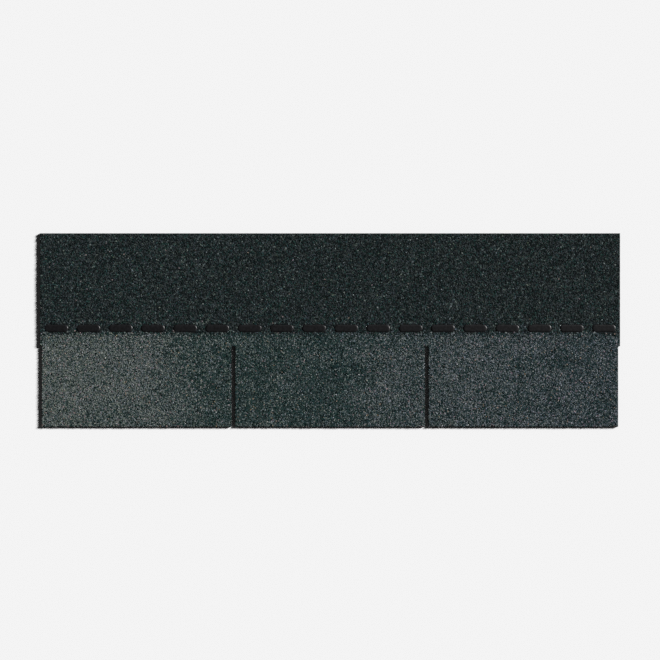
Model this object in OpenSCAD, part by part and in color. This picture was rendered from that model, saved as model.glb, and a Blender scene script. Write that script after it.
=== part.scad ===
// Three-tab asphalt strip shingle, lying flat with its granule face up.
// +X runs along the course, +Y runs up the slope, and +Z is the weather side.
// The origin is at the middle of the strip's back face.

/* [Strip] */
// Length of the strip along the course
strip_length = 914.4; // [600:0.1:1200]
// Height of the strip, from the butt edge to the top edge
strip_height = 304.8; // [260:0.1:400]
// Thickness of the coated sheet
sheet_thickness = 2.8; // [2:0.1:5]

/* [Tabs] */
// Number of tabs in the strip
tab_count = 3; // [1:1:5]
// Height of the tabs, which is the part of the strip that stays exposed
tab_height = 127; // [90:0.5:160]
// Width of the cutout between two tabs
cutout_width = 6; // [5:0.5:12]
// Radius of the cutout's two inner corners
cutout_radius = 2; // [0.5:0.25:4]

/* [Sealant] */
// Distance from the top of the cutouts to the middle of the sealant line
sealant_offset = 28; // [18:0.5:40]
// Length of one dash of sealant
dash_length = 38; // [24:0.5:60]
// Width of one dash of sealant
dash_width = 12; // [6:0.5:20]
// Height of one dash above the sheet
dash_height = 0.8; // [0.4:0.1:1.5]
// Width of the sloping flank all round a dash
dash_flank = 2.5; // [0.5:0.1:2.8]
// Gap between two dashes
dash_gap = 12.8; // [6:0.1:40]
// Shortest distance from a dash to the end of the strip
dash_margin = 6; // [3:0.5:30]

/* [Hidden] */

// Room that a cut runs past the edge it opens into
overcut = 1;
// Facets of a full circle
circle_facets = 96;

// Distance between the lines that the cutouts are centred on
tab_pitch = strip_length / tab_count;
// Largest share of the cutout's width that one corner may take
corner_share = 0.45;
corner_radius = min(cutout_radius, corner_share * cutout_width);

// Lower edge of the tabs, and the line that the sealant follows
butt_edge = -strip_height / 2;
sealant_line = butt_edge + tab_height + sealant_offset;

// As many dashes as the strip's length takes, centred along it
dash_pitch = dash_length + dash_gap;
dash_count = floor((strip_length - 2 * dash_margin + dash_gap) / dash_pitch);
// Straight run of a dash between its two round ends
dash_run = dash_length - dash_width;
// Width of a dash's flat crown
crown_width = dash_width - 2 * dash_flank;

// Outline of one cutout, open at the butt edge and centred on its own line.
module cutout_outline() {
    translate([-cutout_width / 2, -overcut])
        square([cutout_width, tab_height - corner_radius + overcut]);
    translate([corner_radius - cutout_width / 2, 0])
        square([cutout_width - 2 * corner_radius, tab_height]);
    for (side = [-1, 1])
        translate([side * (cutout_width / 2 - corner_radius), tab_height - corner_radius])
            circle(r = corner_radius, $fn = circle_facets);
}

// Die-cut sheet. The cutouts on the two end lines leave half a slot each,
// which the neighbouring strip in the course completes.
module shingle_strip() {
    color([0.22, 0.255, 0.255])
        linear_extrude(sheet_thickness)
            difference() {
                square([strip_length, strip_height], center = true);
                for (line = [0 : tab_count])
                    translate([line * tab_pitch - strip_length / 2, butt_edge])
                        cutout_outline();
            }
}

// Section of a dash across its width: a flat crown between two sloping flanks.
module dash_section() {
    polygon([
        [-dash_width / 2, 0],
        [dash_width / 2, 0],
        [crown_width / 2, dash_height],
        [-crown_width / 2, dash_height]
    ]);
}

// One dash of sealant: a straight run that closes with a round end at either side.
module sealant_dash() {
    rotate([90, 0, 90])
        linear_extrude(dash_run, center = true)
            dash_section();
    for (end = [-1, 1])
        translate([end * dash_run / 2, 0, 0])
            cylinder(d1 = dash_width, d2 = crown_width, h = dash_height, $fn = circle_facets);
}

// Self-seal line that bonds the tabs of the course above.
module sealant_dashes() {
    color([0.07, 0.07, 0.075])
        for (i = [0 : dash_count - 1])
            translate([(i - (dash_count - 1) / 2) * dash_pitch, sealant_line, sheet_thickness])
                sealant_dash();
}

shingle_strip();
sealant_dashes();
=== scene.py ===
import math

import bmesh
import bpy
import numpy as np
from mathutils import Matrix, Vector, noise


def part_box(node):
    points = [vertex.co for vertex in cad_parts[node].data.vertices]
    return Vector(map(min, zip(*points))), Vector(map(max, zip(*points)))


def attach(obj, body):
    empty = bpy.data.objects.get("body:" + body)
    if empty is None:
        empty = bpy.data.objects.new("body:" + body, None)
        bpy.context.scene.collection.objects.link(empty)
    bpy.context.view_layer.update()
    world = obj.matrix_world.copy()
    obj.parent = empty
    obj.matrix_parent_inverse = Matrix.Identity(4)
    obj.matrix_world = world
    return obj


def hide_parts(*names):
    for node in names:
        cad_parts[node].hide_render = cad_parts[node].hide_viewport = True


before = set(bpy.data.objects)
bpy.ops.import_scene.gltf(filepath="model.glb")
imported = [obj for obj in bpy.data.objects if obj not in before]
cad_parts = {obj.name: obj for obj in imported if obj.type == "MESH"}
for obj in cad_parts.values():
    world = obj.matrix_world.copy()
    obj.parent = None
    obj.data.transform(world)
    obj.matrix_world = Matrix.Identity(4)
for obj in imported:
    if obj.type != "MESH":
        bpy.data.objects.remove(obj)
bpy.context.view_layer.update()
sheetLow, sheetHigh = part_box("shingle_strip")
dashLow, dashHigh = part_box("sealant_dashes")
sheetTop = sheetHigh.z
buttEdge = sheetLow.y

# die cut of the sheet, in metres like everything here
sheetCut = {
    "tabs": 3,
    "tabHeight": 0.127,
    "cutoutWidth": 0.006,
}
tabPitch = (sheetHigh.x - sheetLow.x) / sheetCut["tabs"]
cutoutTop = buttEdge + sheetCut["tabHeight"]


def linearFrom(red, green, blue):
    # screen colour, 0 to 255, to the linear value that a shader takes
    screen = np.array([red, green, blue]) / 255
    return np.where(screen <= 0.04045, screen / 12.92, ((screen + 0.055) / 1.055) ** 2.4)


def colourOf(red, green, blue):
    return (*linearFrom(red, green, blue), 1)


def greyOf(level):
    return (level, level, level, 1)


def newMaterial(name):
    material = bpy.data.materials.new(name)
    material.use_nodes = True
    tree = material.node_tree
    return material, tree, tree.nodes["Principled BSDF"]


def addNode(tree, kind, inputs=None, **settings):
    node = tree.nodes.new(kind)
    for key, value in settings.items():
        setattr(node, key, value)
    for key, value in (inputs or {}).items():
        if hasattr(value, "is_output"):
            tree.links.new(value, node.inputs[key])
        else:
            node.inputs[key].default_value = value
    return node


def addNoise(tree, place, scale, detail):
    grain = addNode(tree, "ShaderNodeTexNoise", {"Vector": place, "Scale": scale, "Detail": detail})
    return grain.outputs["Fac"]


def addRamp(tree, factor, stops):
    ramp = addNode(tree, "ShaderNodeValToRGB", {"Fac": factor})
    elements = ramp.color_ramp.elements
    while len(elements) < len(stops):
        elements.new(0.5)
    for element, (place, colour) in zip(elements, stops):
        element.position = place
        element.color = colour
    return ramp.outputs["Color"]


def addBlend(tree, factor, span, dark, pale):
    return addRamp(tree, factor, [(span[0], dark), (span[1], pale)])


def mixColour(tree, factor, first, second, blend="MIX"):
    inputs = {0: factor, 6: first, 7: second}       # the sockets of a mix of colours
    mix = addNode(tree, "ShaderNodeMix", inputs, data_type="RGBA", blend_type=blend)
    return mix.outputs[2]


def addBump(tree, shader, height, strength, distance):
    relief = {"Height": height, "Strength": strength, "Distance": distance}
    bump = addNode(tree, "ShaderNodeBump", relief)
    tree.links.new(bump.outputs["Normal"], shader.inputs["Normal"])


def addPiece(name, mesh, material):
    piece = bpy.data.objects.new(name, mesh)
    bpy.context.scene.collection.objects.link(piece)
    mesh.materials.append(material)
    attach(piece, "root")
    return piece


# asphalt sheet between the granules, at its cut edges and on its sanded back
asphaltSheet = {
    "noiseDetail": 4.0,
    "finesScale": 900.0,
    "finesRange": (0.35, 0.70),             # stretch of the noise that runs from dark to pale
    "finesDark": colourOf(13, 14, 15),
    "finesPale": colourOf(36, 41, 42),
    "cutRange": (0.40, 0.65),
    "cutDark": colourOf(8, 9, 10),
    "cutPale": colourOf(22, 24, 25),
    "matColour": colourOf(92, 90, 84),      # glass mat that shows as a thread in the cut
    "matLow": 0.42,                         # share of the sheet's thickness
    "matMiddle": 0.47,
    "matHigh": 0.52,
    "matStretch": (110, 110, 2600),
    "sandScale": 1400.0,
    "sandRange": (0.40, 0.62),
    "sandDark": colourOf(36, 35, 34),
    "sandPale": colourOf(98, 95, 88),
    "bumpStrength": 0.6,
    "bumpDistance": 0.0004,
    "roughness": 0.8,
    "specular": 0.08,
    "turned": 0.5,                          # how level a face is to count as top or back
}


def sheetMaterial():
    look = asphaltSheet
    material, tree, shader = newMaterial("coated asphalt sheet")
    place = addNode(tree, "ShaderNodeTexCoord")
    spot = addNode(tree, "ShaderNodeSeparateXYZ", {"Vector": place.outputs["Object"]})
    facing = addNode(tree, "ShaderNodeSeparateXYZ", {"Vector": place.outputs["Normal"]})

    fines = addNoise(tree, place.outputs["Object"], look["finesScale"], look["noiseDetail"])
    coating = addBlend(tree, fines, look["finesRange"], look["finesDark"], look["finesPale"])

    # the mat is a broken pale thread half way through the cut edge
    stretched = {"Vector": place.outputs["Object"], "Scale": look["matStretch"]}
    thread = addNode(tree, "ShaderNodeMapping", stretched)
    fibres = addNoise(tree, thread.outputs["Vector"], 1.0, look["noiseDetail"])
    height = addNode(tree, "ShaderNodeMath", {0: spot.outputs["Z"], 1: sheetTop}, operation="DIVIDE")
    layer = addRamp(tree, height.outputs["Value"], [
        (look["matLow"], greyOf(0)),
        (look["matMiddle"], greyOf(1)),
        (look["matHigh"], greyOf(0)),
    ])
    matShare = mixColour(tree, 1.0, layer, fibres, "MULTIPLY")
    sheared = addBlend(tree, fines, look["cutRange"], look["cutDark"], look["cutPale"])
    edge = mixColour(tree, matShare, sheared, look["matColour"])

    sand = addNoise(tree, place.outputs["Object"], look["sandScale"], look["noiseDetail"])
    back = addBlend(tree, sand, look["sandRange"], look["sandDark"], look["sandPale"])

    level = facing.outputs["Z"]
    isTop = addNode(tree, "ShaderNodeMath", {0: level, 1: look["turned"]}, operation="GREATER_THAN")
    isBack = addNode(tree, "ShaderNodeMath", {0: level, 1: -look["turned"]}, operation="LESS_THAN")
    colour = mixColour(tree, isTop.outputs["Value"], edge, coating)
    colour = mixColour(tree, isBack.outputs["Value"], colour, back)
    tree.links.new(colour, shader.inputs["Base Color"])
    addBump(tree, shader, sand, look["bumpStrength"], look["bumpDistance"])
    shader.inputs["Roughness"].default_value = look["roughness"]
    shader.inputs["Specular IOR Level"].default_value = look["specular"]
    return material


def dressSheet():
    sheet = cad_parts["shingle_strip"]
    sheet.data.materials.clear()
    sheet.data.materials.append(sheetMaterial())
    print("sheet dressed")


# self-seal line, dabbed on hot and left to slump
sealantLine = {
    "seed": 7,               # of the stray, which starts from the clock without one
    "pitch": 0.0508,
    "length": 0.038,
    "width": 0.012,
    "shoulder": 0.0022,      # width of the rounded flank
    "cellsAlong": 30,
    "cellsAcross": 14,
    "sunk": 0.0002,          # skirt that goes into the sheet
    "wander": 0.00035,       # how far an outline strays
    "wanderScale": 110.0,
    "lump": 0.00009,         # granules that show through the skin
    "lumpScale": 480.0,
    "skinScale": 260.0,
    "skinDetail": 3.0,
    "skinRange": (0.30, 0.75),
    "skinDark": colourOf(11, 11, 12),
    "skinPale": colourOf(25, 25, 27),
    "bumpStrength": 0.3,
    "bumpDistance": 0.0005,
    "roughness": 0.42,
    "specular": 0.40,
}
dabHalf = sealantLine["width"] / 2
dabRun = sealantLine["length"] / 2 - dabHalf
firstDab = dashLow.x + sealantLine["length"] / 2
dabLine = (dashLow.y + dashHigh.y) / 2
dabCount = round((dashHigh.x - dashLow.x - sealantLine["length"]) / sealantLine["pitch"]) + 1


def sealantMaterial():
    look = sealantLine
    material, tree, shader = newMaterial("sealant asphalt")
    place = addNode(tree, "ShaderNodeTexCoord")
    skin = addNoise(tree, place.outputs["Object"], look["skinScale"], look["skinDetail"])
    colour = addBlend(tree, skin, look["skinRange"], look["skinDark"], look["skinPale"])
    tree.links.new(colour, shader.inputs["Base Color"])
    addBump(tree, shader, skin, look["bumpStrength"], look["bumpDistance"])
    shader.inputs["Roughness"].default_value = look["roughness"]
    shader.inputs["Specular IOR Level"].default_value = look["specular"]
    return material


def layDab(bm, x, height):
    along, across = sealantLine["cellsAlong"], sealantLine["cellsAcross"]
    dab = bmesh.ops.create_grid(bm, x_segments=along, y_segments=across, size=1)["verts"]
    for v in dab:
        swing = math.sin(v.co.y * math.pi / 2)      # rows crowd towards the long sides
        reach = dabRun + dabHalf * math.sqrt(max(1 - swing ** 2, 0))
        v.co.x *= reach
        v.co.y = swing * dabHalf
        inward = dabHalf - math.hypot(max(abs(v.co.x) - dabRun, 0), v.co.y)
        v.co.z = height * (1 - (1 - min(inward / sealantLine["shoulder"], 1)) ** 2)
    bmesh.ops.translate(bm, verts=dab, vec=(x, dabLine, sheetTop))
    for v in dab:
        rise = (v.co.z - sheetTop) / height
        stray = noise.noise_vector(v.co * sealantLine["wanderScale"]) * sealantLine["wander"]
        lump = noise.noise(v.co * sealantLine["lumpScale"]) * sealantLine["lump"] * rise
        v.co += Vector((stray.x, stray.y, lump))

    # skirt and floor, so that the dab is closed. The rim runs once round the grid
    row = along + 1
    rim = dab[:row] + dab[2 * row - 1::row] + dab[-2:-row - 1:-1] + dab[-2 * row:0:-row]
    foot = [bm.verts.new(v.co - Vector((0, 0, sealantLine["sunk"]))) for v in rim]
    for i in range(len(rim)):
        bm.faces.new((rim[i], rim[i - 1], foot[i - 1], foot[i]))
    bm.faces.new(foot)
    for v in dab:
        for face in v.link_faces:
            face.smooth = True


def laySealant():
    noise.seed_set(sealantLine["seed"])
    bm = bmesh.new()
    for i in range(dabCount):
        layDab(bm, firstDab + i * sealantLine["pitch"], dashHigh.z - sheetTop)
    bmesh.ops.recalc_face_normals(bm, faces=bm.faces)
    mesh = bpy.data.meshes.new("sealantDabs")
    bm.to_mesh(mesh)
    bm.free()
    piece = addPiece("sealantDabs", mesh, sealantMaterial())
    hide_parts("sealant_dashes")
    print("sealant laid:", dabCount, "dabs")


# crushed and coloured stone, rolled into the hot asphalt
granuleCoat = {
    "seed": 21,
    "tabSpacing": 0.00155,
    "headlapSpacing": 0.00185,
    "jitter": 0.42,           # of the spacing
    "sizeLow": 1.35,          # times the spacing
    "sizeHigh": 2.05,
    "stretch": 0.22,          # some are longer than wide
    "cornerLow": 0.78,        # how far the corners are pushed in and out
    "cornerHigh": 1.14,
    "flatness": 0.50,         # height against width
    "tilt": 0.16,             # slope that the roller leaves
    "liftLow": 0.00002,       # middle of a granule over the face
    "liftHigh": 0.00018,
    "proud": 0.00065,         # tallest that one stands over the face
    "deep": 0.00060,          # and how far one goes into the asphalt
    "edgeRoom": 0.00025,      # from a cut edge to the middle of a granule
    "dabRoom": 0.0005,        # from the sealant's rim to the middle of a granule
    "bandsTab": 3,            # every band is a piece of its own
    "bandsHeadlap": 3,
    "cellFill": 0.7,          # of its cell on the bake map
    "shadeSpread": 0.12,      # from one granule of a colour to the next
    "shadeLow": 0.6,
    "shadeHigh": 1.5,
    "blueSpread": 0.08,       # some are a little bluer or browner
    "mottleScale": 2600.0,
    "mottleDetail": 2.0,
    "mottleRange": (0.30, 0.70),
    "mottleDark": greyOf(0.86),
    "mottlePale": greyOf(1.12),
    "roughness": 0.62,
    "specular": 0.05,
}
granuleColours = {
    "tealBlack": linearFrom(12, 26, 25),
    "deepTeal": linearFrom(34, 55, 53),
    "charcoal": linearFrom(47, 59, 58),
    "slate": linearFrom(80, 91, 89),
    "coolGrey": linearFrom(105, 113, 111),
    "paleGrey": linearFrom(126, 132, 129),
    "rose": linearFrom(121, 110, 111),
    "buff": linearFrom(127, 113, 95),
    "chalk": linearFrom(164, 166, 162),
    "slagBlack": linearFrom(24, 30, 31),
    "slagGrey": linearFrom(50, 57, 58),
}
# shares of each colour in the dark and the light run, and in the plain slag above them
granuleMixes = {
    "dark": {
        "tealBlack": 0.16,
        "deepTeal": 0.33,
        "charcoal": 0.29,
        "slate": 0.15,
        "coolGrey": 0.050,
        "paleGrey": 0.006,
        "rose": 0.007,
        "buff": 0.004,
        "chalk": 0.001,
    },
    "light": {
        "tealBlack": 0.04,
        "deepTeal": 0.09,
        "charcoal": 0.16,
        "slate": 0.35,
        "coolGrey": 0.29,
        "paleGrey": 0.040,
        "rose": 0.026,
        "buff": 0.004,
        "chalk": 0.002,
    },
    "headlap": {
        "tealBlack": 0.10,
        "deepTeal": 0.12,
        "slagBlack": 0.38,
        "slagGrey": 0.36,
        "slate": 0.035,
        "coolGrey": 0.004,
        "rose": 0.001,
    },
}
granuleBlend = {
    # share of the light mix along the strip, from its left end to its right
    "runs": [
        (-0.457, 0.88),
        (-0.300, 0.85),
        (-0.210, 0.20),
        (-0.130, 0.10),
        (0.000, 0.08),
        (0.080, 0.45),
        (0.180, 0.50),
        (0.457, 0.25),
    ],
    "lean": 0.15,             # the runs slant a little
    "ripple": 0.08,           # how far the share swings about them
    "ripples": 14,
    "rippleShort": 0.03,
    "rippleLong": 0.16,
    "tintLeft": (1.00, 1.01, 1.00),     # from end to end, and from the dark mix to the light
    "tintRight": (1.00, 0.955, 1.11),
    "tintDark": (0.97, 1.00, 0.965),
    "tintLight": (1.055, 1.00, 1.00),
    "primeReach": 0.019,      # the blend runs this far above the cutouts
    "primeFray": 0.004,       # and its upper edge is ragged
}
primeTop = cutoutTop + granuleBlend["primeReach"]


def granuleMaterial():
    look = granuleCoat
    material, tree, shader = newMaterial("ceramic granules")
    colour = addNode(tree, "ShaderNodeAttribute", attribute_name="granuleColour")
    place = addNode(tree, "ShaderNodeTexCoord")
    grit = addNoise(tree, place.outputs["Object"], look["mottleScale"], look["mottleDetail"])
    mottle = addBlend(tree, grit, look["mottleRange"], look["mottleDark"], look["mottlePale"])
    shade = mixColour(tree, 1.0, colour.outputs["Color"], mottle, "MULTIPLY")
    tree.links.new(shade, shader.inputs["Base Color"])
    shader.inputs["Roughness"].default_value = look["roughness"]
    shader.inputs["Specular IOR Level"].default_value = look["specular"]
    return material


def scatter(low, high, spacing, rng):
    # offset rows with every point shaken out of line
    rowStep = spacing * math.sqrt(3) / 2
    rows = int((high - low) / rowStep)
    columns = int((sheetHigh.x - sheetLow.x) / spacing)
    column, row = np.meshgrid(np.arange(columns + 1), np.arange(rows + 1))
    x = sheetLow.x + (column + 0.5 * (row % 2)) * spacing
    y = low + row * rowStep
    shift = rng.uniform(-1, 1, (2,) + x.shape) * granuleCoat["jitter"] * spacing
    return (x + shift[0]).ravel(), (y + shift[1]).ravel()


def fromCutLine(x):
    # distance to the middle of the nearest cutout
    return np.abs((x - sheetLow.x + tabPitch / 2) % tabPitch - tabPitch / 2)


def onSheet(x, y, room):
    inside = (x > sheetLow.x + room) & (x < sheetHigh.x - room)
    inside &= (y > sheetLow.y + room) & (y < sheetHigh.y - room)
    inCutout = (fromCutLine(x) < sheetCut["cutoutWidth"] / 2 + room) & (y < cutoutTop + room)
    return inside & ~inCutout


def underDab(x, y):
    pitch = sealantLine["pitch"]
    along = (x - firstDab + pitch / 2) % pitch - pitch / 2
    beyond = np.maximum(np.abs(along) - dabRun, 0)
    inRow = (x > dashLow.x) & (x < dashHigh.x)
    return inRow & (np.hypot(beyond, y - dabLine) < dabHalf + granuleCoat["dabRoom"])


def lightShare(x, y, rng):
    # how much of the light mix falls at each spot
    blend = granuleBlend
    share = np.interp(x + blend["lean"] * y, *zip(*blend["runs"]))
    swing = blend["ripple"] * math.sqrt(2 / blend["ripples"])
    for _ in range(blend["ripples"]):
        wave = rng.uniform(blend["rippleShort"], blend["rippleLong"])
        turn, phase = rng.uniform(0, 2 * math.pi, 2)
        path = x * math.cos(turn) + y * math.sin(turn)
        share += swing * np.cos(2 * math.pi * path / wave + phase)
    return share.clip(0, 1)


def sharesOf(mix):
    return np.array([granuleMixes[mix].get(name, 0) for name in granuleColours])


def between(first, second, share):
    return np.array(granuleBlend[first]) * (1 - share) + np.array(granuleBlend[second]) * share


def pickColours(x, y, rng):
    # one colour of the palette for each granule, drawn by the shares at its spot
    light = lightShare(x, y, rng)[:, None]
    shares = sharesOf("dark") * (1 - light) + sharesOf("light") * light
    plain = y + rng.normal(0, granuleBlend["primeFray"], len(y)) > primeTop
    shares[plain] = sharesOf("headlap")
    edges = np.cumsum(shares, axis=1)
    draw = rng.uniform(0, 1, len(x)) * edges[:, -1]
    choice = (draw[:, None] > edges).sum(axis=1)

    # every granule is a shade off its colour, and the blend has a tint that drifts
    coat = granuleCoat
    shade = rng.normal(1, coat["shadeSpread"], (len(x), 1)).clip(coat["shadeLow"], coat["shadeHigh"])
    shade = np.repeat(shade, 3, axis=1)
    shade[:, 2] *= rng.normal(1, coat["blueSpread"], len(x))     # blue alone
    across = ((x - sheetLow.x) / (sheetHigh.x - sheetLow.x))[:, None]
    tint = between("tintLeft", "tintRight", across) * between("tintDark", "tintLight", light)
    tint[plain] = 1
    return np.array(list(granuleColours.values()))[choice] * shade * tint


def crushedStone():
    # eight facets with one of them up, the shape that every granule is knocked out of
    bm = bmesh.new()
    bmesh.ops.create_uvsphere(bm, u_segments=4, v_segments=2, radius=0.5)
    bmesh.ops.triangulate(bm, faces=bm.faces)
    faceUp = Vector((1, 1, 1)).rotation_difference(Vector((0, 0, 1))).to_matrix()
    bmesh.ops.rotate(bm, verts=bm.verts, matrix=faceUp)
    corners = np.array([v.co for v in bm.verts])
    facets = np.array([[v.index for v in f.verts] for f in bm.faces])
    bm.free()
    return corners, facets


def knockOut(size, rng):
    # chips round their own middle: corners pushed about, turned, tilted and pressed flat
    coat = granuleCoat
    corners, facets = crushedStone()
    count = len(size)
    push = rng.uniform(coat["cornerLow"], coat["cornerHigh"], (count, len(corners), 1))
    chips = corners * push
    chips[:, :, 0] *= rng.uniform(1 - coat["stretch"], 1 + coat["stretch"], (count, 1))
    turn = rng.uniform(0, 2 * math.pi, (count, 1))
    slope = rng.normal(0, coat["tilt"], (2, count, 1))
    lift = rng.uniform(coat["liftLow"], coat["liftHigh"], (count, 1))
    x = chips[:, :, 0] * np.cos(turn) - chips[:, :, 1] * np.sin(turn)
    y = chips[:, :, 0] * np.sin(turn) + chips[:, :, 1] * np.cos(turn)
    z = chips[:, :, 2] * coat["flatness"] + x * slope[0] + y * slope[1]
    chips = np.stack([x, y, z], 2) * size[:, None, None]
    chips[:, :, 2] = (chips[:, :, 2] + lift).clip(-coat["deep"], coat["proud"])
    return chips, facets


def trimAtCut(points, x, y):
    # the die goes through the granules that lie on its line
    half = sheetCut["cutoutWidth"] / 2
    left = sheetLow.x + (x - sheetLow.x) // tabPitch * tabPitch + half
    inTab = y < cutoutTop
    overCutout = ~inTab & (fromCutLine(x) < half)
    lowX = np.where(inTab, left, sheetLow.x)[:, None]
    highX = np.where(inTab, left + tabPitch - 2 * half, sheetHigh.x)[:, None]
    lowY = np.where(overCutout, cutoutTop, sheetLow.y)[:, None]
    points[:, :, 0] = points[:, :, 0].clip(lowX, highX)
    points[:, :, 1] = points[:, :, 1].clip(lowY, sheetHigh.y)


def granulePiece(name, x, y, size, colours, rng, material):
    chips, facets = knockOut(size, rng)
    count, corners = chips.shape[:2]
    points = chips + np.stack([x, y, np.full(count, sheetTop)], 1)[:, None, :]
    trimAtCut(points, x, y)
    faces = (facets + corners * np.arange(count)[:, None, None]).reshape(-1, 3)

    mesh = bpy.data.meshes.new(name)
    mesh.from_pydata(points.reshape(-1, 3), [], faces)
    shade = mesh.color_attributes.new("granuleColour", "FLOAT_COLOR", "POINT")
    rgba = np.ones((count, corners, 4))
    rgba[:, :, :3] = colours[:, None, :]
    shade.data.foreach_set("color", rgba.ravel().astype(np.float32))

    # a cell of its own for every granule on the map that colours are baked through
    side = math.ceil(math.sqrt(count))
    cell = np.stack([np.arange(count) % side, np.arange(count) // side], 1)
    spread = chips[:, :, :2] / size[:, None, None]
    uv = (cell[:, None, :] + 0.5 + spread * granuleCoat["cellFill"]) / side
    bakeMap = mesh.uv_layers.new(name="OFBake")
    bakeMap.data.foreach_set("uv", uv.reshape(-1, 2)[faces.ravel()].ravel().astype(np.float32))
    addPiece(name, mesh, material)


def layGranules():
    coat = granuleCoat
    rng = np.random.default_rng(coat["seed"])
    material = granuleMaterial()
    made = 0
    for zone, low, high, spacing, bands in (
        ("tab", buttEdge, primeTop, coat["tabSpacing"], coat["bandsTab"]),
        ("headlap", primeTop, sheetHigh.y, coat["headlapSpacing"], coat["bandsHeadlap"]),
    ):
        x, y = scatter(low, high, spacing, rng)
        size = spacing * rng.uniform(coat["sizeLow"], coat["sizeHigh"], len(x))
        keep = onSheet(x, y, coat["edgeRoom"]) & ~underDab(x, y)
        x, y, size = x[keep], y[keep], size[keep]
        colours = pickColours(x, y, rng)
        band = ((y - low) / (high - low) * bands).astype(int).clip(0, bands - 1)
        for number in range(bands):
            mine = band == number
            name = f"{zone}Granules{number + 1}"
            granulePiece(name, x[mine], y[mine], size[mine], colours[mine], rng, material)
            print(name, int(mine.sum()), "granules")
        made += len(x)
    print("granules laid:", made)


# floor, light and camera
studio = {
    "floorSize": 40.0,
    "floorDrop": 0.00005,           # keeps the floor off the sheet's back
    "floorColour": (0.9, 0.9, 0.9, 1),
    "floorRoughness": 1.0,
    "floorSpecular": 0.0,
    "keyHeight": 20.0,              # degrees above the floor
    "keyTurn": 65.0,                # degrees from straight up the slope, towards the right
    "keyShare": 0.97,               # of the light that falls on the floor
    "keySoftness": 12.0,            # degrees that the key spans
    "fillRange": (0.25, 0.50),      # sines of the heights between which the fill fades out
    "ceiling": 0.02,                # what is left of it overhead
    "lens": 85.0,
    "sensor": 36.0,
    "pictureWidth": 660,            # pixels
    "stripWidth": 580,
}


def layFloor():
    bm = bmesh.new()
    bmesh.ops.create_grid(bm, x_segments=1, y_segments=1, size=studio["floorSize"] / 2)
    bmesh.ops.translate(bm, verts=bm.verts, vec=(0, 0, -studio["floorDrop"]))
    mesh = bpy.data.meshes.new("floor")
    bm.to_mesh(mesh)
    bm.free()
    floor = bpy.data.objects.new("floor", mesh)
    bpy.context.scene.collection.objects.link(floor)
    material, tree, shader = newMaterial("studio floor")
    shader.inputs["Base Color"].default_value = studio["floorColour"]
    shader.inputs["Roughness"].default_value = studio["floorRoughness"]
    shader.inputs["Specular IOR Level"].default_value = studio["floorSpecular"]
    mesh.materials.append(material)


def hangKey():
    height = math.radians(studio["keyHeight"])
    turn = math.radians(studio["keyTurn"])
    flat = math.cos(height)
    toKey = Vector((math.sin(turn) * flat, math.cos(turn) * flat, math.sin(height)))
    sun = bpy.data.lights.new("key", "SUN")
    sun.energy = studio["keyShare"] * math.pi / math.sin(height)
    sun.angle = math.radians(studio["keySoftness"])
    key = bpy.data.objects.new("key", sun)
    key.rotation_euler = toKey.to_track_quat("Z", "Y").to_euler()
    bpy.context.scene.collection.objects.link(key)


def hangFill():
    # low soft boxes all round, behind which the camera sees the floor's own tone
    world = bpy.data.worlds.new("studio")
    world.use_nodes = True
    tree = world.node_tree
    sine = np.linspace(0, 1, 1000)          # of the height, from the floor to overhead
    glow = np.interp(sine, studio["fillRange"], (1, studio["ceiling"]))
    onFloor = 2 * np.mean(glow * sine)      # share of what an even sky would give
    place = addNode(tree, "ShaderNodeTexCoord")
    upward = addNode(tree, "ShaderNodeSeparateXYZ", {"Vector": place.outputs["Generated"]})
    overhead = greyOf(studio["ceiling"])
    ring = addBlend(tree, upward.outputs["Z"], studio["fillRange"], greyOf(1), overhead)
    fill = tree.nodes["Background"]
    tree.links.new(ring, fill.inputs["Color"])
    fill.inputs["Strength"].default_value = (1 - studio["keyShare"]) / onFloor
    seen = addNode(tree, "ShaderNodeBackground", {"Color": studio["floorColour"], "Strength": 1.0})
    path = addNode(tree, "ShaderNodeLightPath")
    sides = {0: path.outputs["Is Camera Ray"], 1: fill.outputs[0], 2: seen.outputs[0]}
    mix = addNode(tree, "ShaderNodeMixShader", sides)
    tree.links.new(mix.outputs[0], tree.nodes["World Output"].inputs["Surface"])
    bpy.context.scene.world = world


def setCamera():
    lens = bpy.data.cameras.new("camera")
    lens.lens = studio["lens"]
    lens.sensor_width = studio["sensor"]
    camera = bpy.data.objects.new("camera", lens)
    across = (sheetHigh.x - sheetLow.x) * studio["pictureWidth"] / studio["stripWidth"]
    middle = (sheetLow + sheetHigh) / 2
    camera.location = (middle.x, middle.y, sheetTop + across * studio["lens"] / studio["sensor"])
    bpy.context.scene.collection.objects.link(camera)
    bpy.context.scene.camera = camera
    bpy.context.scene.view_settings.view_transform = "Standard"
    bpy.context.scene.cycles.use_denoising = False      # it smears the granules


layFloor()
hangKey()
hangFill()
setCamera()
print("stage set")
dressSheet()
laySealant()
layGranules()
